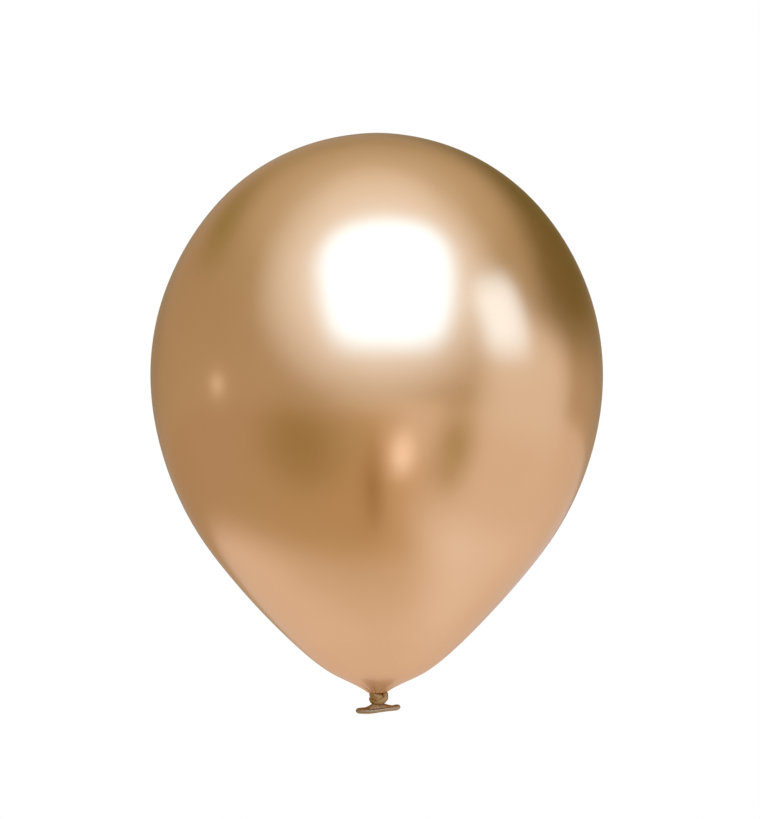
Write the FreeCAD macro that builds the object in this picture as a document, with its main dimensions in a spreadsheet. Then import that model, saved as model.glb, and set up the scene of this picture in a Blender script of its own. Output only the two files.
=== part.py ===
import FreeCAD, Part
import math
import os
import Sketcher
from FreeCAD import Placement, Rotation, Vector

# Inflated latex balloon with its neck tied in an overhand knot.
# The frame: origin on the balloon's axis at the throat, where the skin gathers above the knot.
# +Z runs up the balloon, X lies along the flattened lip, and -Y is the front.
# Latex is one dipped skin, so its regions are kept apart here as the envelope, the gathered
# neck, the knot's turn and core, the sleeve below the knot and the lip rolled at its mouth.
# Everything is in millimetres and degrees.

SIZES = {
    # envelope: a pear outline of five tangent arcs, turned about Z
    "balloon_radius": 140.0,
    "equator_height": 195.5,
    "top_arc": 134.0,
    "shoulder_arc": 160.0,
    "belly_arc": 192.0,
    "tip_arc": 109.0,
    "belly_start": 167.0,
    "flank_start": 84.0,
    "tip_start": 22.0,
    "throat_radius": 5.5,
    "skin_wall": 0.3,
    # gathered neck: a round collar centred in the throat, on a short foot
    "collar_radius": 4.2,
    "collar_top": 1.9,
    "collar_drop": 0.9,
    "foot_radius": 1.4,
    "foot_drop": 2.4,
    # knot: one turn of the neck around its own core
    "turn_radius": 3.9,
    "turn_thickness": 2.05,
    "turn_drop": 4.4,
    "core_radius": 2.6,
    "core_top_drop": 3.1,
    "core_foot_drop": 6.2,
    # tail: the sleeve below the knot, which folds about a line across its rounded top
    "fold_drop": 8.1,
    "fold_radius": 1.3,
    "fold_half_width": 3.0,
    "waist_half_width": 2.8,
    "waist_half_depth": 1.1,
    "sleeve_wall": 0.6,
    "mouth_roof_drop": 9.6,
    "mouth_roof_half_width": 2.4,
    "mouth_roof_half_depth": 0.5,
    # rolled lip: a bead around the flattened mouth, a little higher on the right
    "lip_drop": 10.4,
    "lip_shift": 0.7,
    "lip_tilt": -4.5,
    "lip_half_width": 12.4,
    "lip_half_depth": 2.6,
    "bead_radius": 1.35,
}

doc = FreeCAD.newDocument("latex_balloon")
sheet = doc.addObject("Spreadsheet::Sheet", "Sizes")
for row, (alias, value) in enumerate(SIZES.items(), start=1):
    sheet.set(f"A{row}", alias)
    sheet.set(f"B{row}", str(value))
    sheet.setAlias(f"B{row}", alias)
doc.recompute()


def size(alias):
    return float(sheet.get(alias))


# ---------------------------------------------------------------- sketch helpers

START, END, CENTRE = 1, 2, 3
ORIGIN = (-1, 1)
H_AXIS, V_AXIS = -1, -2


def new_body(label):
    body = doc.addObject("PartDesign::Body", label)
    body.Label = label
    return body


def new_sketch(body, name, plane, height=None):
    """A sketch on one of the body's own origin planes, raised along its normal by an expression."""
    sketch = body.newObject("Sketcher::SketchObject", name)
    support = [feature for feature in body.Origin.OriginFeatures if feature.Role == plane]
    sketch.AttachmentSupport = [(support[0], "")]
    sketch.MapMode = "FlatFace"
    if height:
        sketch.setExpression("AttachmentOffset.Base.z", height)
    return sketch


def arc(sketch, centre, radius, start, end):
    """A counter-clockwise arc between two angles in degrees."""
    circle = Part.Circle(Vector(*centre, 0), Vector(0, 0, 1), radius)
    return sketch.addGeometry(Part.ArcOfCircle(circle, math.radians(start), math.radians(end)))


def line(sketch, start, end):
    return sketch.addGeometry(Part.LineSegment(Vector(*start, 0), Vector(*end, 0)))


def rule(sketch, *facts):
    return sketch.addConstraint(Sketcher.Constraint(*facts))


def drive(sketch, expression, *facts):
    """A constraint whose value follows the spreadsheet."""
    number = rule(sketch, *facts)
    sketch.setExpression(f"Constraints[{number}]", expression)


def join(sketch, point, other):
    """Makes two end points one."""
    rule(sketch, "Coincident", *point, *other)


def chain(sketch, corners):
    """Level and upright lines through the corners, each joined to the next."""
    edges = [line(sketch, *pair) for pair in zip(corners, corners[1:])]
    for edge, (first, last) in zip(edges, zip(corners, corners[1:])):
        rule(sketch, "Horizontal" if first[1] == last[1] else "Vertical", edge)
    for edge, following in zip(edges, edges[1:]):
        join(sketch, (edge, END), (following, START))
    return edges


def place(sketch, point, right=None, up=None):
    """Fixes a sketch point by its distances from the origin, each an expression and its value."""
    if right:
        drive(sketch, right[0], "DistanceX", *ORIGIN, *point, right[1])
    if up:
        drive(sketch, up[0], "DistanceY", *ORIGIN, *point, up[1])


def oblong(sketch, half_width, half_depth):
    """A slot shape centred on the origin and long in X. Each size is an expression and its value."""
    width, depth = half_width[1], half_depth[1]
    reach = width - depth
    right = arc(sketch, (reach, 0), depth, -90, 90)
    top = line(sketch, (reach, depth), (-reach, depth))
    left = arc(sketch, (-reach, 0), depth, 90, 270)
    bottom = line(sketch, (-reach, -depth), (reach, -depth))
    ring = [right, top, left, bottom]
    for edge, following in zip(ring, ring[1:] + ring[:1]):
        rule(sketch, "Tangent", edge, END, following, START)
    rule(sketch, "Symmetric", right, CENTRE, left, CENTRE, *ORIGIN)
    rule(sketch, "Horizontal", top)
    drive(sketch, half_depth[0], "Radius", right, depth)
    drive(sketch, f"{half_width[0]} - {half_depth[0]}", "DistanceX", *ORIGIN, right, CENTRE, reach)


def sized(alias, change=""):
    """A size as its expression and its value, with an optional change such as a wall taken off."""
    expression = f"Sizes.{alias}{change}"
    return expression, float(sheet.evalExpression(expression.replace("Sizes.", "")))


def turned(body, sketch, name):
    """The sketch turned a full circle about its own vertical axis."""
    solid = body.newObject("PartDesign::Revolution", name)
    solid.Profile = sketch
    solid.ReferenceAxis = (sketch, ["V_Axis"])
    solid.Angle = 360.0
    return solid


def cut(label, base, tool):
    """A boolean whose result is the sub-part."""
    result = doc.addObject("Part::Cut", label)
    result.Label = label
    result.Base = base
    result.Tool = tool
    return result


def tilt_lip(item, frame):
    """Moves a body or a sketch from the origin to the lip's place and tilt."""
    setattr(item, frame, Placement(Vector(0, 0, 0), Rotation(Vector(0, 1, 0), size("lip_tilt"))))
    item.setExpression(f"{frame}.Base.x", "Sizes.lip_shift")
    item.setExpression(f"{frame}.Base.z", "-Sizes.lip_drop")
    item.setExpression(f"{frame}.Rotation.Angle", "Sizes.lip_tilt")


# ---------------------------------------------------------------- envelope

def pear_circles():
    """The centres and radii of the five outline arcs, and their corners from the top to the throat."""
    top_r, shoulder_r, belly_r, tip_r = (size(f"{name}_arc") for name in ("top", "shoulder", "belly", "tip"))
    shoulder = Vector(size("balloon_radius") - shoulder_r, size("equator_height"), 0)
    top = Vector(0, shoulder.y + math.sqrt((shoulder_r - top_r) ** 2 - shoulder.x**2), 0)
    corners = [top + Vector(0, top_r, 0), top + (top - shoulder).normalize() * top_r]
    circles = [(top, top_r), (shoulder, shoulder_r)]
    flank_r = belly_r + shoulder_r
    radii = [belly_r, flank_r, tip_r]
    for radius, start in zip(radii, ("belly_start", "flank_start", "tip_start")):
        centre, last_radius = circles[-1]
        rise = size(start) - centre.y
        corner = centre + Vector(math.sqrt(last_radius**2 - rise**2), rise, 0)
        corners.append(corner)
        circles.append((corner + (centre - corner) * (radius / last_radius), radius))
    corners.append(Vector(size("throat_radius"), 0, 0))
    return circles, corners


def pear_outline(sketch, inset):
    """Draws the five arcs, moved inwards by the inset, each tangent to the next."""
    circles, corners = pear_circles()
    arcs = []
    for (centre, radius), upper, lower in zip(circles, corners, corners[1:]):
        start, end = (math.degrees(math.atan2(*(p - centre)[1::-1])) for p in (lower, upper))
        arcs.append(arc(sketch, centre[:2], radius - inset, start, end))
    for upper, lower in zip(arcs, arcs[1:]):
        rule(sketch, "Tangent", upper, START, lower, END)
    rule(sketch, "PointOnObject", arcs[0], END, V_AXIS)
    return arcs


# The inflated skin is a hollow pear, open only at the throat. The flank arc has no size of its
# own: it is the one that carries the belly's curve smoothly into the tip's.
envelope = new_body("envelope")
outline = new_sketch(envelope, "envelope_outline", "XZ_Plane")
outer = pear_outline(outline, 0)
top, shoulder, belly, flank, tip = outer
for name, number in (("top", top), ("shoulder", shoulder), ("belly", belly), ("tip", tip)):
    drive(outline, f"Sizes.{name}_arc", "Radius", number, size(f"{name}_arc"))
side_offset = size("shoulder_arc") - size("balloon_radius")
rule(outline, "PointOnObject", top, CENTRE, V_AXIS)
drive(outline, "Sizes.shoulder_arc - Sizes.balloon_radius", "DistanceX",
      shoulder, CENTRE, *ORIGIN, side_offset)
place(outline, (shoulder, CENTRE), up=("Sizes.equator_height", size("equator_height")))
for name, number in (("belly", belly), ("flank", flank), ("tip", tip)):
    place(outline, (number, END), up=(f"Sizes.{name}_start", size(f"{name}_start")))
place(outline, (tip, START), right=("Sizes.throat_radius", size("throat_radius")))
rule(outline, "PointOnObject", tip, START, H_AXIS)
doc.recompute()

inner = pear_outline(outline, size("skin_wall"))
for outside, inside in zip(outer, inner):
    rule(outline, "Coincident", outside, CENTRE, inside, CENTRE)
drive(outline, "Sizes.top_arc - Sizes.skin_wall", "Radius", inner[0], size("top_arc") - size("skin_wall"))
rim = line(outline, outline.getPoint(tip, START)[:2], outline.getPoint(inner[-1], START)[:2])
seam = line(outline, outline.getPoint(inner[0], END)[:2], outline.getPoint(top, END)[:2])
join(outline, (tip, START), (rim, START))
join(outline, (rim, END), (inner[-1], START))
join(outline, (inner[0], END), (seam, START))
join(outline, (seam, END), (top, END))
rule(outline, "Horizontal", rim)
turned(envelope, outline, "envelope_skin")


# ---------------------------------------------------------------- gathered neck

# The collar is a slice of a ball about the throat's centre, so that the rim can sway round it.
neck_gather = new_body("neck_gather")
profile = new_sketch(neck_gather, "neck_profile", "XZ_Plane")
collar_r, collar_top, collar_drop = size("collar_radius"), size("collar_top"), size("collar_drop")
foot_r, foot_drop = size("foot_radius"), size("foot_drop")
top_x = math.sqrt(collar_r**2 - collar_top**2)
low_x = math.sqrt(collar_r**2 - collar_drop**2)
low_angle = math.degrees(math.atan2(-collar_drop, low_x))
top_angle = math.degrees(math.atan2(collar_top, top_x))
collar = arc(profile, (0, 0), collar_r, low_angle, top_angle)
rule(profile, "Coincident", collar, CENTRE, *ORIGIN)
drive(profile, "Sizes.collar_radius", "Radius", collar, collar_r)
place(profile, (collar, END), up=("Sizes.collar_top", collar_top))
drive(profile, "Sizes.collar_drop", "DistanceY", collar, START, *ORIGIN, collar_drop)
corners = [(top_x, collar_top), (0, collar_top), (0, -foot_drop), (foot_r, -foot_drop),
           (foot_r, -collar_drop), (low_x, -collar_drop)]
edges = chain(profile, corners)
join(profile, (collar, END), (edges[0], START))
join(profile, (edges[-1], END), (collar, START))
rule(profile, "PointOnObject", edges[1], START, V_AXIS)
drive(profile, "Sizes.foot_drop", "DistanceY", edges[1], END, *ORIGIN, foot_drop)
drive(profile, "Sizes.foot_radius", "DistanceX", *ORIGIN, edges[3], START, foot_r)
turned(neck_gather, profile, "neck_collar")


# ---------------------------------------------------------------- knot

# The turn is the loop of the overhand knot, pulled tight into a ring.
knot_turn = new_body("knot_turn")
section = new_sketch(knot_turn, "turn_section", "XZ_Plane")
strand = section.addGeometry(Part.Circle(Vector(size("turn_radius"), -size("turn_drop"), 0), Vector(0, 0, 1),
                                         size("turn_thickness")))
drive(section, "Sizes.turn_thickness", "Radius", strand, size("turn_thickness"))
drive(section, "Sizes.turn_radius", "DistanceX", *ORIGIN, strand, CENTRE, size("turn_radius"))
drive(section, "Sizes.turn_drop", "DistanceY", strand, CENTRE, *ORIGIN, size("turn_drop"))
turned(knot_turn, section, "turn_ring")

# The core is the strand gripped inside the turn, so the ring's waist is cut out of it.
core_form = new_body("core_form")
profile = new_sketch(core_form, "core_profile", "XZ_Plane")
core_r, core_top, core_foot = size("core_radius"), -size("core_top_drop"), -size("core_foot_drop")
corners = [(0, core_foot), (core_r, core_foot), (core_r, core_top), (0, core_top), (0, core_foot)]
edges = chain(profile, corners)
join(profile, (edges[-1], END), (edges[0], START))
rule(profile, "PointOnObject", edges[0], START, V_AXIS)
drive(profile, "Sizes.core_radius", "DistanceX", edges[0], START, edges[0], END, core_r)
drive(profile, "Sizes.core_foot_drop", "DistanceY", edges[0], START, *ORIGIN, -core_foot)
drive(profile, "Sizes.core_top_drop", "DistanceY", edges[2], END, *ORIGIN, -core_top)
turned(core_form, profile, "core_post")
knot_core = cut("knot_core", core_form, knot_turn)


# ---------------------------------------------------------------- rolled lip

rolled_lip = new_body("rolled_lip")
path = new_sketch(rolled_lip, "lip_path", "XY_Plane")
oblong(path, sized("lip_half_width"), sized("lip_half_depth"))
section = new_sketch(rolled_lip, "bead_section", "YZ_Plane")
bead_centre = Vector(size("lip_half_depth"), 0, 0)
bead = section.addGeometry(Part.Circle(bead_centre, Vector(0, 0, 1), size("bead_radius")))
drive(section, "Sizes.bead_radius", "Radius", bead, size("bead_radius"))
drive(section, "Sizes.lip_half_depth", "DistanceX", *ORIGIN, bead, CENTRE, size("lip_half_depth"))
rule(section, "PointOnObject", bead, CENTRE, H_AXIS)
roll = rolled_lip.newObject("PartDesign::AdditivePipe", "lip_bead")
roll.Profile = section
roll.Spine = (path, [])
tilt_lip(rolled_lip, "Placement")


# ---------------------------------------------------------------- tail sleeve

# The sleeve hangs from a round bar along the fold line and flares out to the lip. It is hollow
# from its mouth up, and the lip is cut out of its hem, so that the two meet face to face.
tail_form = new_body("tail_form")
bar_section = new_sketch(tail_form, "fold_section", "YZ_Plane")
bar_circle = bar_section.addGeometry(Part.Circle(Vector(0, -size("fold_drop"), 0), Vector(0, 0, 1),
                                                 size("fold_radius")))
drive(bar_section, "Sizes.fold_radius", "Radius", bar_circle, size("fold_radius"))
drive(bar_section, "Sizes.fold_drop", "DistanceY", bar_circle, CENTRE, *ORIGIN, size("fold_drop"))
rule(bar_section, "PointOnObject", bar_circle, CENTRE, V_AXIS)
bar = tail_form.newObject("PartDesign::Pad", "fold_bar")
bar.Profile = bar_section
bar.Midplane = True
bar.setExpression("Length", "2 * Sizes.fold_half_width")
doc.recompute()

waist = new_sketch(tail_form, "waist_section", "XY_Plane", "-Sizes.fold_drop")
oblong(waist, sized("waist_half_width"), sized("waist_half_depth"))
hem = new_sketch(tail_form, "hem_section", "XY_Plane")
oblong(hem, sized("lip_half_width"), sized("lip_half_depth"))
tilt_lip(hem, "AttachmentOffset")
flare = tail_form.newObject("PartDesign::AdditiveLoft", "sleeve_flare")
flare.Profile = waist
flare.Sections = [hem]
flare.Ruled = True
doc.recompute()

roof = new_sketch(tail_form, "mouth_roof", "XY_Plane", "-Sizes.mouth_roof_drop")
oblong(roof, sized("mouth_roof_half_width"), sized("mouth_roof_half_depth"))
opening = new_sketch(tail_form, "mouth_opening", "XY_Plane")
wall_off = " - Sizes.sleeve_wall"
oblong(opening, sized("lip_half_width", wall_off), sized("lip_half_depth", wall_off))
tilt_lip(opening, "AttachmentOffset")
doc.recompute()
solid_volume = flare.Shape.Volume
mouth = tail_form.newObject("PartDesign::SubtractiveLoft", "sleeve_mouth")
mouth.Profile = roof
mouth.Sections = [opening]
mouth.Ruled = True
tail_form.Tip = mouth
tail_sleeve = cut("tail_sleeve", tail_form, rolled_lip)


# ---------------------------------------------------------------- checks and files

doc.recompute()
for item in doc.Objects:
    if {"Invalid", "Error"} & set(item.State):
        raise RuntimeError(f"{item.Name} failed: {item.State}")
if mouth.Shape.Volume >= solid_volume:
    raise RuntimeError("the sleeve's mouth cut nothing")

os.makedirs("parts", exist_ok=True)
for node in (envelope, neck_gather, knot_core, knot_turn, tail_sleeve, rolled_lip):
    shape = node.Shape
    if shape.isNull() or not shape.isValid() or len(shape.Solids) != 1:
        raise RuntimeError(f"{node.Label} is not one valid solid")
    shape.exportStep(f"parts/{node.Label}.step")
    box = shape.optimalBoundingBox()
    print(f"{node.Label}: {shape.Volume / 1000:.3f} cm3,",
          f"{box.XLength:.1f} x {box.YLength:.1f} x {box.ZLength:.1f} mm,",
          f"z {box.ZMin:.2f} to {box.ZMax:.2f}")
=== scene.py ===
import math
import random

import bpy
from mathutils import Matrix, Vector, noise


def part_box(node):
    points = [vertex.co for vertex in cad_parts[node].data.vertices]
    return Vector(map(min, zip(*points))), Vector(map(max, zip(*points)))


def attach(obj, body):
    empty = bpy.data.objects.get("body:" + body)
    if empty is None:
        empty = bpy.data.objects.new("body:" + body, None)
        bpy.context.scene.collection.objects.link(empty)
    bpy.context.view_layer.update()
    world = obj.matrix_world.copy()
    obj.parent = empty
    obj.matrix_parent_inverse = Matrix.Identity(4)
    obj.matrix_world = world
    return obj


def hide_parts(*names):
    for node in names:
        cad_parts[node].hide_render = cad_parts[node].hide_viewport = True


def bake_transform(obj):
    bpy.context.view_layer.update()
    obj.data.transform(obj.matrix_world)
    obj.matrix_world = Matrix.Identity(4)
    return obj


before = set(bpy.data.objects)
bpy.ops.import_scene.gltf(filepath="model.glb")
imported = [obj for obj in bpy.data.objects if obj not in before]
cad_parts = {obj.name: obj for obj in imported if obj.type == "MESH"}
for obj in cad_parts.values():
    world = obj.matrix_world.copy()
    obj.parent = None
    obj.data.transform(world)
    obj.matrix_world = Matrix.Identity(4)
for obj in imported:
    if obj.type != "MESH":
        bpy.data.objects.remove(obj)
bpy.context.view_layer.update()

# An inflated latex balloon in metallic gold, its neck tied in an overhand knot.
# +Z runs up the balloon from the throat, X lies along the flattened lip, and -Y is the front.
# Everything is in metres, apart from the strand's points, which are in millimetres.


# ---------------------------------------------------------------- camera
# A long lens level with the middle of the balloon, far enough away to show it almost flat on.

CAMERA_DISTANCE = 2.0
CAMERA_SIDE, CAMERA_HEIGHT = 0.0019, 0.175
FRAME_HEIGHT = 0.5074
SENSOR = 36.0

camera_data = bpy.data.cameras.new("camera")
camera_data.sensor_width = SENSOR
camera_data.lens = SENSOR * CAMERA_DISTANCE / FRAME_HEIGHT
camera = bpy.data.objects.new("camera", camera_data)
camera.location = (CAMERA_SIDE, -CAMERA_DISTANCE, CAMERA_HEIGHT)
camera.rotation_euler = (math.radians(90), 0, 0)
bpy.context.collection.objects.link(camera)
bpy.context.scene.camera = camera
bpy.context.scene.view_settings.view_transform = "Standard"


# ---------------------------------------------------------------- studio
# A pale floor well below the balloon, with a large soft key light high in front. The metallic
# skin mirrors the room, so soft-edged panels stand round it: bright ones are its lamps, and
# dim ones are the unlit parts of the studio. Only reflections see the panels.

AIM = Vector((0, 0, 0.19))
FLOOR_HEIGHT = -0.6


def direction(azimuth, elevation):
    """Unit vector from the balloon. Azimuth 0 is towards the front, and 90 is to the right."""
    a, e = math.radians(azimuth), math.radians(elevation)
    return Vector((math.sin(a) * math.cos(e), -math.cos(a) * math.cos(e), math.sin(e)))


def facing_in(item, azimuth, elevation, distance):
    item.location = AIM + direction(azimuth, elevation) * distance
    item.rotation_euler = direction(azimuth, elevation).to_track_quat("Z", "Y").to_euler()


def only_reflected(item):
    item.visible_camera = False
    item.visible_shadow = False
    item.visible_diffuse = False


def soft_panel(name, azimuth, elevation, distance, half_width, half_height, tone, core,
               square=False):
    """A glowing card, oval or nearly square: even over its core, then fading to its border."""
    bpy.ops.object.select_all(action="DESELECT")
    bpy.ops.mesh.primitive_plane_add(size=2)
    card = bpy.context.object
    card.name = name
    material = bpy.data.materials.new(name)
    material.use_nodes = True
    tree = material.node_tree
    tree.nodes.clear()
    where = tree.nodes.new("ShaderNodeTexCoord")
    spread = tree.nodes.new("ShaderNodeVectorMath")
    spread.operation = "MULTIPLY"
    away = tree.nodes.new("ShaderNodeVectorMath")
    away.operation = "LENGTH"
    fade = tree.nodes.new("ShaderNodeMapRange")
    fade.interpolation_type = "SMOOTHSTEP"
    fade.inputs["From Min"].default_value = 1
    fade.inputs["From Max"].default_value = core ** 2 if square else core
    clear = tree.nodes.new("ShaderNodeBsdfTransparent")
    glow = tree.nodes.new("ShaderNodeEmission")
    brightest = max(tone)
    glow.inputs["Color"].default_value = (*(part / brightest for part in tone), 1)
    glow.inputs["Strength"].default_value = brightest
    mixed = tree.nodes.new("ShaderNodeMixShader")
    output = tree.nodes.new("ShaderNodeOutputMaterial")
    tree.links.new(where.outputs["Object"], spread.inputs[0])
    spread.inputs[1].default_value = (1, 1, 1)
    if square:
        tree.links.new(where.outputs["Object"], spread.inputs[1])
    tree.links.new(spread.outputs["Vector"], away.inputs[0])
    tree.links.new(away.outputs["Value"], fade.inputs["Value"])
    tree.links.new(fade.outputs["Result"], mixed.inputs["Fac"])
    tree.links.new(clear.outputs["BSDF"], mixed.inputs[1])
    tree.links.new(glow.outputs["Emission"], mixed.inputs[2])
    tree.links.new(mixed.outputs["Shader"], output.inputs["Surface"])
    card.data.materials.append(material)
    card.scale = (half_width, half_height, 1)
    facing_in(card, azimuth, elevation, distance)
    only_reflected(card)


# Azimuth and elevation in degrees, distance, half width, half height, glow, share that is even.
soft_panel("softbox", 6, 40, 1.0, 0.7, 0.69, (1.4, 2.4, 4.8), 0.4, square=True)
soft_panel("softbox_glow", 2, 43, 1.05, 1.9, 1.9, (0.95, 1.08, 1.45), 0.2)
soft_panel("window_panel", 67, 21.5, 1.4, 0.44, 0.48, (1.2, 1.7, 2.9), 0.2, square=True)
soft_panel("left_lamp", -84, -3, 1.6, 0.15, 0.12, (1.3, 1.3, 1.5), 0.2)
soft_panel("low_lamp", 13, -29, 0.8, 0.11, 0.16, (1.3, 1.3, 1.6), 0.2)
soft_panel("right_wall", 80, -2, 1.7, 1.25, 0.74, (0.8, 0.82, 0.98), 0.3, square=True)
soft_panel("right_dark", 138, 23, 1.3, 1.5, 0.6, (0.19, 0.16, 0.06), 0.3)
soft_panel("right_floor", 76, -58, 0.7, 0.7, 0.25, (0.88, 0.9, 1.12), 0.0)
soft_panel("behind", 180, 4, 2.2, 2.6, 0.7, (0.38, 0.33, 0.25), 0.3)
soft_panel("left_dark", -132, 34, 1.8, 0.95, 0.4, (0.34, 0.31, 0.17), 0.1)
soft_panel("front_dark_left", -38, -25, 0.9, 0.55, 0.4, (0.34, 0.27, 0.13), 0.0)
soft_panel("front_dark_right", 40, -26, 0.95, 0.25, 0.41, (0.42, 0.36, 0.22), 0.1)
soft_panel("front_dark_middle", -2, -41, 0.76, 0.08, 0.36, (0.34, 0.21, 0.09), 0.15)


def soft_light(name, azimuth, elevation, distance, size, watts):
    """A square light for the floor and the duller rubber. The skin doesn't mirror it."""
    bpy.ops.object.select_all(action="DESELECT")
    bpy.ops.object.light_add(type="AREA")
    lamp = bpy.context.object
    lamp.name = name
    lamp.data.shape = "SQUARE"
    lamp.data.size = size
    lamp.data.energy = watts
    lamp.visible_glossy = False
    lamp.visible_camera = False
    facing_in(lamp, azimuth, elevation, distance)


soft_light("key", 8, 44, 1.3, 1.1, 9)
soft_light("ceiling", 0, 90, 3, 12, 290)


def disc(name, radius, centre, colour, roughness):
    bpy.ops.object.select_all(action="DESELECT")
    bpy.ops.mesh.primitive_circle_add(vertices=128, radius=radius, fill_type="NGON", location=centre)
    item = bpy.context.object
    item.name = name
    material = bpy.data.materials.new(name)
    material.use_nodes = True
    shader = material.node_tree.nodes["Principled BSDF"]
    shader.inputs["Base Color"].default_value = (*colour, 1)
    shader.inputs["Roughness"].default_value = roughness
    item.data.materials.append(material)
    return item


# The floor is pale paper. Reflections see a glowing disc just above it in its place, with painted
# light: a painted pool of light near the balloon, and painted shade further out, darker to the left and
# paler to the right.
disc("floor", 3.8, (0, 0, FLOOR_HEIGHT), (0.84, 0.83, 0.82), 0.9)
DUSK_RADIUS, DUSK_BACK, DUSK_LIFT = 4.2, 0.9, 0.02
BRIGHT_RADIUS, DIM_RADIUS = 0.86, 1.3
DIM_SPREAD = 1.5
bpy.ops.object.select_all(action="DESELECT")
bpy.ops.mesh.primitive_circle_add(vertices=128, radius=DUSK_RADIUS, fill_type="NGON",
                                  location=(0, DUSK_BACK, FLOOR_HEIGHT + DUSK_LIFT))
dusk = bpy.context.object
dusk.name = "dusk"
dim = bpy.data.materials.new("dusk")
dim.use_nodes = True
dim_tree = dim.node_tree
dim_tree.nodes.clear()
spot = dim_tree.nodes.new("ShaderNodeTexCoord")
away = dim_tree.nodes.new("ShaderNodeVectorMath")
away.operation = "LENGTH"
fade = dim_tree.nodes.new("ShaderNodeMapRange")
fade.interpolation_type = "SMOOTHSTEP"
fade.inputs["From Min"].default_value = BRIGHT_RADIUS
fade.inputs["From Max"].default_value = DIM_RADIUS
across = dim_tree.nodes.new("ShaderNodeSeparateXYZ")
reach = dim_tree.nodes.new("ShaderNodeMapRange")
reach.inputs["From Min"].default_value = -DIM_SPREAD
reach.inputs["From Max"].default_value = DIM_SPREAD
# Painted shade across the disc: darker to the left, paler to the right.
sides = dim_tree.nodes.new("ShaderNodeValToRGB")
sides.color_ramp.interpolation = "EASE"
sides.color_ramp.elements[0].color = (0.49, 0.41, 0.34, 1)
sides.color_ramp.elements[1].color = (0.76, 0.72, 0.8, 1)
sides.color_ramp.elements[1].position = 0.8
for position, colour in ((0.45, (0.52, 0.43, 0.31)), (0.56, (0.6, 0.5, 0.4))):
    sides.color_ramp.elements.new(position).color = (*colour, 1)
# The glow near the balloon is a painted pool of light on the paper.
painted_lit_paper = dim_tree.nodes.new("ShaderNodeEmission")
painted_lit_paper.inputs["Color"].default_value = (0.8, 0.76, 0.87, 1)
glow = dim_tree.nodes.new("ShaderNodeEmission")
mixed = dim_tree.nodes.new("ShaderNodeMixShader")
dim_output = dim_tree.nodes.new("ShaderNodeOutputMaterial")
dim_tree.links.new(spot.outputs["Object"], away.inputs[0])
dim_tree.links.new(away.outputs["Value"], fade.inputs["Value"])
dim_tree.links.new(spot.outputs["Object"], across.inputs["Vector"])
dim_tree.links.new(across.outputs["X"], reach.inputs["Value"])
dim_tree.links.new(reach.outputs["Result"], sides.inputs["Fac"])
dim_tree.links.new(sides.outputs["Color"], glow.inputs["Color"])
dim_tree.links.new(fade.outputs["Result"], mixed.inputs["Fac"])
dim_tree.links.new(painted_lit_paper.outputs["Emission"], mixed.inputs[1])
dim_tree.links.new(glow.outputs["Emission"], mixed.inputs[2])
dim_tree.links.new(mixed.outputs["Shader"], dim_output.inputs["Surface"])
dusk.data.materials.append(dim)
only_reflected(dusk)

# The room is white to the camera. To the balloon it is an even warm grey, lighter overhead.
world = bpy.data.worlds.new("studio")
bpy.context.scene.world = world
world.use_nodes = True
room = world.node_tree
room.nodes.clear()
place = room.nodes.new("ShaderNodeTexCoord")
height = room.nodes.new("ShaderNodeSeparateXYZ")
ramp = room.nodes.new("ShaderNodeValToRGB")
ramp.color_ramp.interpolation = "EASE"
ramp.color_ramp.elements[0].position = 0.45
ramp.color_ramp.elements[0].color = (0.5, 0.44, 0.38, 1)
ramp.color_ramp.elements[1].position = 0.99
ramp.color_ramp.elements[1].color = (0.78, 0.82, 0.95, 1)
for position, colour in ((0.67, (0.47, 0.41, 0.34)), (0.8, (0.46, 0.42, 0.33)),
                         (0.89, (0.56, 0.53, 0.48)), (0.95, (0.62, 0.61, 0.6))):
    ramp.color_ramp.elements.new(position).color = (*colour, 1)
to_unit = room.nodes.new("ShaderNodeMath")
to_unit.operation = "MULTIPLY_ADD"
to_unit.inputs[1].default_value = 0.5
to_unit.inputs[2].default_value = 0.5
lit_room = room.nodes.new("ShaderNodeBackground")
white_room = room.nodes.new("ShaderNodeBackground")
white_room.inputs["Color"].default_value = (1, 1, 1, 1)
path = room.nodes.new("ShaderNodeLightPath")
either = room.nodes.new("ShaderNodeMixShader")
sky = room.nodes.new("ShaderNodeOutputWorld")
room.links.new(place.outputs["Generated"], height.inputs["Vector"])
room.links.new(height.outputs["Z"], to_unit.inputs[0])
room.links.new(to_unit.outputs["Value"], ramp.inputs["Fac"])
room.links.new(ramp.outputs["Color"], lit_room.inputs["Color"])
room.links.new(path.outputs["Is Camera Ray"], either.inputs["Fac"])
room.links.new(lit_room.outputs["Background"], either.inputs[1])
room.links.new(white_room.outputs["Background"], either.inputs[2])
room.links.new(either.outputs["Shader"], sky.inputs["Surface"])


# ---------------------------------------------------------------- balloon skin
# One dipped latex skin blown up into a pear. It is stretched thin and smooth over the top and
# the belly, and gathers into radial pleats where it runs down into the tied neck.

OUTLINE_POINTS = 36
TUCK_HEIGHT = 0.008
TUCK = [(0.0154, 0.0055), (0.0071, 0.0008), (0.0050, -0.0012), (0.0032, -0.0002), (0.0025, 0.0031)]
SKIN_STEPS = 192
UNEVENNESS = 0.0005
PLEAT_COUNT = 17
PLEAT_DEPTH = 0.0006
PLEAT_HEIGHT = 0.09
FRONT_CREASE = (-0.45, 2.6, 0.005, 0.10)


def only(item):
    """Selects one object and makes it active, with nothing else selected."""
    bpy.ops.object.select_all(action="DESELECT")
    item.select_set(True)
    bpy.context.view_layer.objects.active = item


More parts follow.
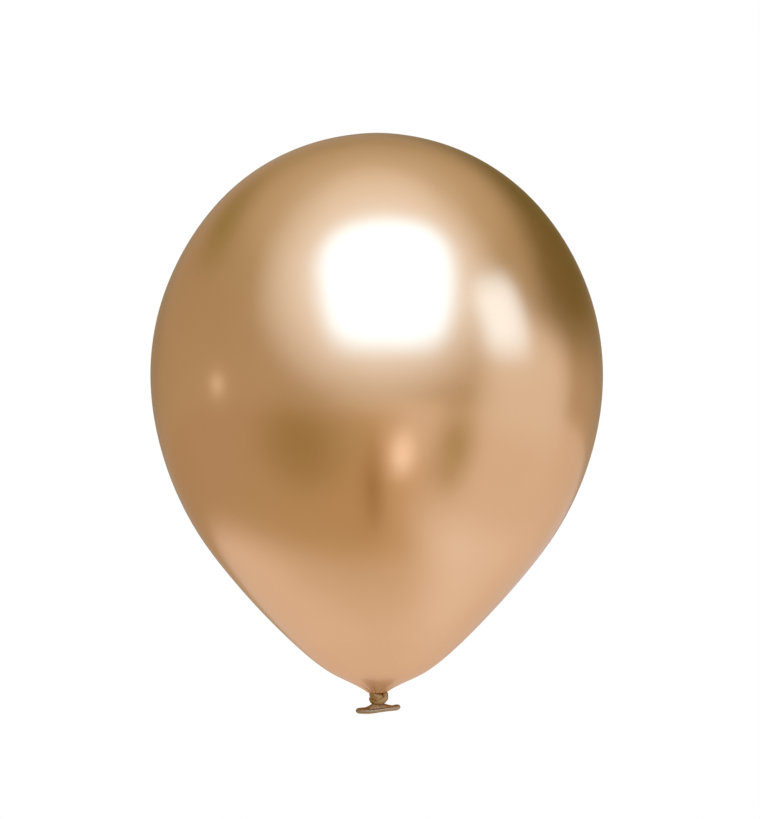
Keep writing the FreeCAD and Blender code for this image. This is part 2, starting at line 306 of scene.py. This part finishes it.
def nurbs(name, points, resolution, order=4, cyclic=False, radii=None):
    """A smooth curve drawn through its control points' hull."""
    curve = bpy.data.curves.new(name, "CURVE")
    curve.dimensions = "3D"
    spline = curve.splines.new("NURBS")
    spline.points.add(len(points) - 1)
    for number, (knot, place) in enumerate(zip(spline.points, points)):
        knot.co = (*place, 1)
        knot.radius = radii[number] if radii else 1
    spline.order_u = order
    spline.use_cyclic_u = cyclic
    spline.use_endpoint_u = not cyclic
    spline.resolution_u = resolution
    item = bpy.data.objects.new(name, curve)
    bpy.context.collection.objects.link(item)
    return item


def made_mesh(item):
    only(item)
    bpy.ops.object.convert(target="MESH")
    return bpy.context.object


# The outline goes down the outside of the CAD pear in even steps of angle about its middle, and
# then tucks in under itself where the neck is tied. It leaves the crown level.
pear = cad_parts["envelope"]
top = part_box("envelope")[1].z
middle = Vector((0, 0, top / 2))
outline = []
for number in range(OUTLINE_POINTS):
    angle = math.pi / 2 - math.pi * number / OUTLINE_POINTS
    outwards = Vector((math.cos(angle), 0, math.sin(angle)))
    place = pear.ray_cast(middle + outwards * top, -outwards)[1]
    if place.z > TUCK_HEIGHT:
        outline.append((place.x, 0, place.z))
outline.insert(1, (outline[1][0] / 3, 0, top))
outline += [(radius, 0, height) for radius, height in TUCK]
skin = made_mesh(nurbs("balloon_skin", outline, 7))
bpy.ops.object.mode_set(mode="EDIT")
bpy.ops.mesh.select_all(action="SELECT")
bpy.ops.mesh.spin(steps=SKIN_STEPS, angle=2 * math.pi, center=(0, 0, 0), axis=(0, 0, 1))
bpy.ops.mesh.select_all(action="SELECT")
bpy.ops.mesh.remove_doubles(threshold=0.00002)
bpy.ops.mesh.select_all(action="DESELECT")
bpy.ops.mesh.select_non_manifold(extend=False, use_wire=False, use_multi_face=False,
                                 use_non_contiguous=False, use_verts=False)
bpy.ops.mesh.edge_face_add()
bpy.ops.mesh.select_all(action="SELECT")
bpy.ops.mesh.normals_make_consistent(inside=False)
bpy.ops.object.mode_set(mode="OBJECT")

luck = random.Random(11)
pleats = []
for number in range(PLEAT_COUNT):
    angle = (number + luck.uniform(-0.3, 0.3)) * 2 * math.pi / PLEAT_COUNT
    pleats.append((angle, luck.uniform(0.25, 1.0), luck.uniform(0.006, 0.02), luck.uniform(0.07, 0.14)))
pleats.append(FRONT_CREASE)


def pleat_depth(angle, radius):
    """How far the skin is drawn in at that angle, as the sum of its grooves there."""
    depth = 0
    for groove, strength, reach, width in pleats:
        apart = (angle - groove + math.pi) % (2 * math.pi) - math.pi
        fade = math.exp(-max(0, radius - 0.004) / reach)
        depth += PLEAT_DEPTH * strength * fade * math.exp(-(apart / width) ** 2)
    return depth


outward = [vertex.normal.copy() for vertex in skin.data.vertices]
for vertex, normal in zip(skin.data.vertices, outward):
    x, y, z = vertex.co
    radius = math.hypot(x, y)
    uneven = noise.noise(vertex.co * 11) * UNEVENNESS * min(1, radius / 0.03)
    if z < PLEAT_HEIGHT and radius > 1e-5:
        uneven -= pleat_depth(math.atan2(y, x), radius)
    vertex.co += normal * uneven
only(skin)
bpy.ops.object.shade_smooth()


DULL_HEIGHT = 0.045
DULL_ROUGHNESS = 0.46


def metallic_latex(name, light, deep, roughness, grain):
    """Pearl pigment under a glossy skin, duller low down, where it is stretched least."""
    material = bpy.data.materials.new(name)
    material.use_nodes = True
    tree = material.node_tree
    shader = tree.nodes["Principled BSDF"]
    shader.inputs["Metallic"].default_value = 1.0
    shader.inputs["Coat Weight"].default_value = 0.25
    shader.inputs["Coat Roughness"].default_value = 0.12
    shader.inputs["Coat IOR"].default_value = 1.5
    shader.inputs["Specular Tint"].default_value = (0.86, 0.76, 0.62, 1)
    where = tree.nodes.new("ShaderNodeTexCoord")

    def cloud(scale, detail):
        texture = tree.nodes.new("ShaderNodeTexNoise")
        texture.inputs["Scale"].default_value = scale
        texture.inputs["Detail"].default_value = detail
        tree.links.new(where.outputs["Object"], texture.inputs["Vector"])
        return texture.outputs["Fac"]

    tint = tree.nodes.new("ShaderNodeMix")
    tint.data_type = "RGBA"
    tint.inputs["A"].default_value = (*light, 1)
    tint.inputs["B"].default_value = (*deep, 1)
    tree.links.new(cloud(14, 3), tint.inputs["Factor"])
    tree.links.new(tint.outputs["Result"], shader.inputs["Base Color"])

    gloss = tree.nodes.new("ShaderNodeMapRange")
    gloss.inputs["To Min"].default_value = roughness - 0.03
    gloss.inputs["To Max"].default_value = roughness + 0.03
    tree.links.new(cloud(60, 4), gloss.inputs["Value"])
    level = tree.nodes.new("ShaderNodeSeparateXYZ")
    tree.links.new(where.outputs["Object"], level.inputs["Vector"])
    dulled = tree.nodes.new("ShaderNodeMapRange")
    dulled.inputs["From Max"].default_value = DULL_HEIGHT
    dulled.inputs["To Min"].default_value = DULL_ROUGHNESS - roughness
    dulled.inputs["To Max"].default_value = 0
    tree.links.new(level.outputs["Z"], dulled.inputs["Value"])
    sheen = tree.nodes.new("ShaderNodeMath")
    tree.links.new(gloss.outputs["Result"], sheen.inputs[0])
    tree.links.new(dulled.outputs["Result"], sheen.inputs[1])
    tree.links.new(sheen.outputs["Value"], shader.inputs["Roughness"])

    relief = tree.nodes.new("ShaderNodeBump")
    relief.inputs["Strength"].default_value = 0.12
    relief.inputs["Distance"].default_value = grain
    tree.links.new(cloud(900, 2), relief.inputs["Height"])
    tree.links.new(relief.outputs["Normal"], shader.inputs["Normal"])
    return material


stretched_gold = metallic_latex("stretched_gold", (0.9, 0.57, 0.29), (0.84, 0.51, 0.24),
                                0.22, 0.0001)
skin.data.materials.append(stretched_gold)
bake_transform(skin)
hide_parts("envelope")


# ---------------------------------------------------------------- gathered neck
# The same skin where it is squeezed together, unstretched and thick, between the balloon and
# the knot. It is a short pleated tube that rises out of the knot into the balloon's dimple.

NECK_RINGS = [(-0.0032, 0.0026), (-0.0022, 0.0028), (-0.0014, 0.0030), (-0.0007, 0.0034),
              (0.0, 0.0039), (0.0008, 0.0040), (0.0018, 0.0034), (0.0026, 0.0020)]
NECK_TWIST = 120

bpy.ops.object.select_all(action="DESELECT")
foot_height, foot_radius = NECK_RINGS[0]
bpy.ops.mesh.primitive_circle_add(vertices=120, radius=foot_radius, fill_type="NGON",
                                  location=(0, 0, foot_height))
neck = bpy.context.object
neck.name = "neck_pleats"
bpy.ops.object.transform_apply(location=True)
bpy.ops.object.mode_set(mode="EDIT")
bpy.ops.mesh.select_all(action="SELECT")
for (last_height, last_radius), (ring_height, ring_radius) in zip(NECK_RINGS, NECK_RINGS[1:]):
    rise = ring_height - last_height
    bpy.ops.mesh.extrude_region_move(TRANSFORM_OT_translate={"value": (0, 0, rise)})
    share = ring_radius / last_radius
    bpy.ops.transform.resize(value=(share, share, 1), center_override=(0, 0, 0))
bpy.ops.mesh.select_all(action="SELECT")
bpy.ops.mesh.normals_make_consistent(inside=False)
bpy.ops.object.mode_set(mode="OBJECT")
rounded = neck.modifiers.new("rounded", "SUBSURF")
rounded.levels = rounded.render_levels = 1
bpy.ops.object.modifier_apply(modifier="rounded")
for vertex in neck.data.vertices:
    x, y, z = vertex.co
    angle = math.atan2(y, x)
    twist = angle + z * NECK_TWIST
    fold = 0.10 * math.sin(9 * twist) + 0.05 * math.sin(14 * twist + 1.3)
    fold += 0.04 * math.sin(5 * twist)
    vertex.co.x *= 1 + fold
    vertex.co.y *= 1 + fold
only(neck)
bpy.ops.object.shade_smooth()
# Unstretched latex is a deeper brown-gold, and this base is darkened further as painted shade on the
# neck and knot, which sit under the balloon.
relaxed_gold_and_painted_shade = metallic_latex("relaxed_gold_and_painted_shade", (0.56, 0.36, 0.14), (0.42, 0.25, 0.08),
                              0.36, 0.0002)
neck.data.materials.append(relaxed_gold_and_painted_shade)
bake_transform(neck)
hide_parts("neck_gather")


# ---------------------------------------------------------------- overhand knot
# The neck pulled into an overhand knot by hand: it comes down out of the balloon, turns once
# round itself and tucks through its own loop. The rubber is pressed tight and slightly flat.

STRAND_RADIUS = 0.00185
STRAND = [(1.2, 0.8, 2.0), (3.0, 0.4, 0.8), (5.4, -0.6, -1.0), (5.2, -2.0, -4.3),
          (2.2, -3.0, -6.1), (-1.8, -2.0, -6.1), (-3.9, 0.6, -4.8), (-1.8, 3.1, -3.4),
          (1.8, 3.2, -2.0), (1.8, 1.2, -0.4), (-0.8, -0.6, 0.4), (-3.2, -1.9, -0.8),
          (-1.0, -3.6, -2.8), (2.8, -2.6, -3.4), (2.8, 0.4, -3.6), (0.3, 0.2, -6.8)]
STRAND_SWELL = [0.9, 1.1, 1.15, 1.1, 0.95, 0.95, 1.0, 1.0,
                1.0, 1.1, 1.2, 1.3, 1.3, 1.15, 1.1, 0.8]
MILLIMETRES_IN_A_METRE = 1000
SECTION_POINTS = 26
CREASES = (0.07, -0.05, 0.03, -0.06)

section_points = []
for number in range(SECTION_POINTS):
    angle = number * 2 * math.pi / SECTION_POINTS
    radius = STRAND_RADIUS * (1 + CREASES[number % 4])
    section_points.append((1.12 * radius * math.cos(angle), 0.9 * radius * math.sin(angle), 0))
section = nurbs("strand_section", section_points, 3, cyclic=True)
section.data.dimensions = "2D"
route = [tuple(part / MILLIMETRES_IN_A_METRE for part in point) for point in STRAND]
strand = nurbs("overhand_knot", route, 14, radii=STRAND_SWELL)
strand.data.bevel_mode = "OBJECT"
strand.data.bevel_object = section
strand.data.use_fill_caps = True
knot = made_mesh(strand)
bpy.data.objects.remove(section)
bpy.ops.object.mode_set(mode="EDIT")
bpy.ops.mesh.select_all(action="SELECT")
bpy.ops.mesh.remove_doubles(threshold=0.000001)
bpy.ops.mesh.normals_make_consistent(inside=False)
bpy.ops.object.mode_set(mode="OBJECT")
outward = [vertex.normal.copy() for vertex in knot.data.vertices]
for vertex, normal in zip(knot.data.vertices, outward):
    vertex.co += normal * noise.noise(vertex.co * 900) * 0.00012
only(knot)
bpy.ops.object.shade_smooth()
# The knot takes the neck's base colour, which includes painted shade.
knot.data.materials.append(relaxed_gold_and_painted_shade)
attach(knot, "knot")
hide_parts("knot_core", "knot_turn")


# ---------------------------------------------------------------- tail
# Below the knot the neck is a thin flat sleeve again. It leaves the knot as a narrow pleated
# stalk and flares at once to the mouth, which lies pressed into a long oval.

LIP_HALF_WIDTH, LIP_HALF_DEPTH = 0.0124, 0.0027
LIP_PLACE = Matrix.Translation((0.0007, 0, -0.0104)) @ Matrix.Rotation(math.radians(-4.5), 4, "Y")
SLEEVE_SIDES = 160
SLEEVE_WALL = 0.00035
SLEEVE_RINGS = 14
SLEEVE_RING_STEP = 0.001
SLEEVE_RIPPLE = 0.00016


def mouth_rim(angle):
    """The line round the mouth: a long oval, a little wavy, whose front side hangs lower."""
    x = LIP_HALF_WIDTH * math.cos(angle)
    y = LIP_HALF_DEPTH * math.sin(angle) * (1 + 0.12 * math.cos(3 * angle + 0.5))
    sag = 0.0006 + 0.0007 * math.exp(-((x + 0.006) / 0.006) ** 2)
    z = 0.00015 * math.sin(3 * angle + 0.8) + 0.0001 * math.sin(5 * angle)
    z += sag * min(0, math.sin(angle))
    return LIP_PLACE @ Vector((x, y, z))


def sleeve_point(angle, along):
    """A point on the sleeve, from the stalk in the knot (along 0) to the mouth (along 1)."""
    stalk = Vector((0.0019 * math.cos(angle), 0.0017 * math.sin(angle), -0.0058))
    flare = along ** 1.7
    rim = mouth_rim(angle)
    point = Vector((stalk.x + (rim.x - stalk.x) * flare, stalk.y + (rim.y - stalk.y) * flare,
                    stalk.z + (rim.z - stalk.z) * along ** 0.8))
    ripple = math.sin(11 * angle + 0.7) + 0.6 * math.sin(17 * angle + 2.1) + 0.5 * math.sin(7 * angle)
    side = Vector((math.cos(angle), math.sin(angle), 0))
    point += side * ripple * SLEEVE_RIPPLE * math.sin(math.pi * along)
    return point


bpy.ops.object.select_all(action="DESELECT")
bpy.ops.mesh.primitive_circle_add(vertices=SLEEVE_SIDES, radius=0.002, location=(0, 0, 0))
sleeve = bpy.context.object
sleeve.name = "tail_skirt"
bpy.ops.object.mode_set(mode="EDIT")
bpy.ops.mesh.select_all(action="SELECT")
for ring in range(SLEEVE_RINGS):
    bpy.ops.mesh.extrude_edges_move(TRANSFORM_OT_translate={"value": (0, 0, -SLEEVE_RING_STEP)})
bpy.ops.object.mode_set(mode="OBJECT")
for vertex in sleeve.data.vertices:
    along = -vertex.co.z / (SLEEVE_RING_STEP * SLEEVE_RINGS)
    vertex.co = sleeve_point(math.atan2(vertex.co.y, vertex.co.x), along)
only(sleeve)
bpy.ops.object.mode_set(mode="EDIT")
bpy.ops.mesh.select_all(action="SELECT")
bpy.ops.mesh.normals_make_consistent(inside=False)
bpy.ops.object.mode_set(mode="OBJECT")
wall = sleeve.modifiers.new("wall", "SOLIDIFY")
wall.thickness = SLEEVE_WALL
wall.offset = -1
bpy.ops.object.modifier_apply(modifier="wall")
rounded = sleeve.modifiers.new("rounded", "SUBSURF")
rounded.levels = rounded.render_levels = 1
bpy.ops.object.modifier_apply(modifier="rounded")
bpy.ops.object.shade_smooth()
thin_gold = metallic_latex("thin_gold", (0.52, 0.29, 0.1), (0.38, 0.2, 0.07), 0.38, 0.0002)
sleeve.data.materials.append(thin_gold)
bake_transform(sleeve)
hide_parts("tail_sleeve")


# ---------------------------------------------------------------- rolled lip
# The mouth's edge is rolled over on itself several times while the dipped latex is still
# tacky, which leaves a firm round bead. The roll's last turn shows as a fine step inside.

BEAD_RADIUS = 0.0015
GUIDE_RADIUS = 0.01
ROLL_STEP = 0.12
STEP_AT = 0.95

bpy.ops.object.select_all(action="DESELECT")
bpy.ops.mesh.primitive_torus_add(major_segments=260, minor_segments=32,
                                 major_radius=GUIDE_RADIUS, minor_radius=BEAD_RADIUS)
lip = bpy.context.object
lip.name = "lip_bead"
for vertex in lip.data.vertices:
    angle = math.atan2(vertex.co.y, vertex.co.x)
    out, up = math.hypot(vertex.co.x, vertex.co.y) - GUIDE_RADIUS, vertex.co.z
    turn = (math.atan2(up, out) + math.pi) / (2 * math.pi)
    swell = 1 - ROLL_STEP * turn
    if turn >= STEP_AT:
        swell = 1 - ROLL_STEP * STEP_AT * (1 - turn) / (1 - STEP_AT)
    swell *= 1 + 0.08 * math.sin(2 * angle + 0.4)
    side = Vector((math.cos(angle) * LIP_HALF_DEPTH, math.sin(angle) * LIP_HALF_WIDTH, 0)).normalized()
    vertex.co = mouth_rim(angle) + side * out * swell + Vector((0, 0, up * swell))
outward = [vertex.normal.copy() for vertex in lip.data.vertices]
for vertex, normal in zip(lip.data.vertices, outward):
    vertex.co += normal * noise.noise(vertex.co * 450) * 0.00012
only(lip)
bpy.ops.object.shade_smooth()
rolled_gold = metallic_latex("rolled_gold", (0.54, 0.38, 0.19), (0.41, 0.28, 0.13), 0.42, 0.0002)
lip.data.materials.append(rolled_gold)
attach(lip, "tail")
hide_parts("rolled_lip")
